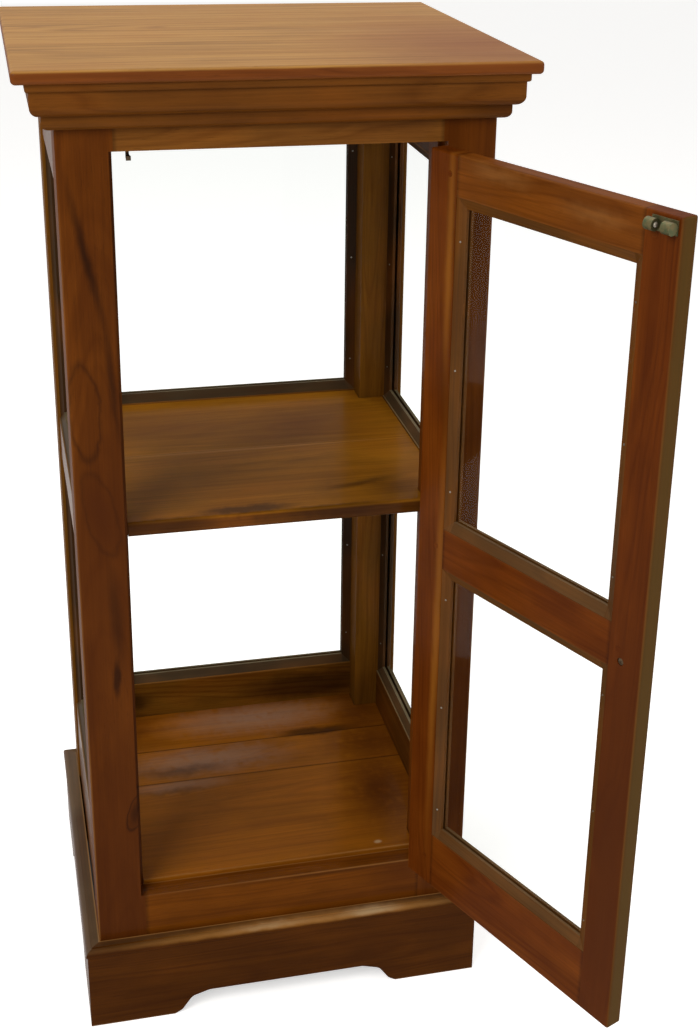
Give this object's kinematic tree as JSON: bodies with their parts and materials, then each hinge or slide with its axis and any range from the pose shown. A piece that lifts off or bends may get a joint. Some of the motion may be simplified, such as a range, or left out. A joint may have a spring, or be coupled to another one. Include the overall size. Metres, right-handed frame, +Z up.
{
  "type": "display cabinet",
  "caption": "Tall glazed display cabinet on a bracket-foot plinth, with a hinged glazed door, a middle shelf, a stepped cornice, a ball catch and a drop pull.",
  "frame": {"origin": "on the ground, under the middle of the box round the whole cabinet as it stands with its door open. The middle of the carcass lies 23.3 mm towards -X and 132.8 mm towards +Y from it", "axes": "+Z up, the door is on the -Y side and its hinges are on the +X side"},
  "size_m": [0.5146, 0.6836, 1.02],
  "materials": {
    "teak_rails": "gloss varnish",
    "teak_dark": "gloss varnish",
    "teak_top": "gloss varnish",
    "teak_boards": "varnish",
    "teak_inside": "varnish",
    "glass": "clear",
    "brass": "tarnished",
    "steel": "plain"
  },
  "bodies": {
    "cabinet": {"back_beads": "teak_rails", "back_bottom_rail": "teak_rails", "back_lower_glass": "glass", "back_mid_rail": "teak_rails", "back_top_rail": "teak_rails", "back_upper_glass": "glass", "catch_strike": "brass", "cornice_lower": "teak_top", "cornice_upper": "teak_top", "floor_back_board": "teak_boards", "floor_cleats": "teak_inside", "floor_front_board": "teak_boards", "floor_middle_board": "teak_boards", "frame_screws": "steel", "front_bottom_rail": "teak_rails", "front_top_rail": "teak_rails", "hinge_frame_leaves": "brass", "hinge_pins": "steel", "left_beads": "teak_rails", "left_bottom_rail": "teak_rails", "left_lower_glass": "glass", "left_mid_rail": "teak_rails", "left_top_rail": "teak_rails", "left_upper_glass": "glass", "plinth_back": "teak_dark", "plinth_front": "teak_dark", "plinth_left": "teak_dark", "plinth_right": "teak_dark", "post_back_left": "teak_dark", "post_back_right": "teak_dark", "post_front_left": "teak_dark", "post_front_right": "teak_dark", "right_beads": "teak_rails", "right_bottom_rail": "teak_rails", "right_lower_glass": "glass", "right_mid_rail": "teak_rails", "right_top_rail": "teak_rails", "right_upper_glass": "glass", "shelf_back_board": "teak_boards", "shelf_cleats": "teak_inside", "shelf_front_board": "teak_boards", "top_board": "teak_top"},
    "door": {"catch_body": "brass", "catch_springs": "steel", "door_beads": "teak_rails", "door_bottom_rail": "teak_rails", "door_hinge_stile": "teak_rails", "door_lock_stile": "teak_rails", "door_lower_glass": "glass", "door_mid_rail": "teak_rails", "door_pegs": "teak_rails", "door_screws": "steel", "door_top_rail": "teak_rails", "door_upper_glass": "glass", "hinge_door_leaves": "brass", "pull_post": "brass", "pull_screw": "steel"},
    "ball_inner": {"catch_ball_inner": "steel"},
    "ball_outer": {"catch_ball_outer": "steel"},
    "pull": {"pull_drop": "brass"}
  },
  "joints": [
    {"name": "door_hinge", "type": "hinge", "parent": "cabinet", "child": "door", "pos_m": [0.12967, -0.05261, 0.5475], "axis": [0, 0, 1], "range_deg": [-113.9, 60]},
    {"name": "ball_outer_slide", "type": "slide", "parent": "door", "child": "ball_outer", "axis": [0.4051, -0.9143, 0], "range_m": [0, 0.001], "stiffness_N_per_m": 500},
    {"name": "ball_inner_slide", "type": "slide", "parent": "door", "child": "ball_inner", "axis": [-0.4051, 0.9143, 0], "range_m": [0, 0.001], "stiffness_N_per_m": 500},
    {"name": "pull_swing", "type": "hinge", "parent": "door", "child": "pull", "pos_m": [0.25083, -0.30628, 0.542], "axis": [0.4051, -0.9143, 0], "range_deg": [-5, 80]}
  ]
}
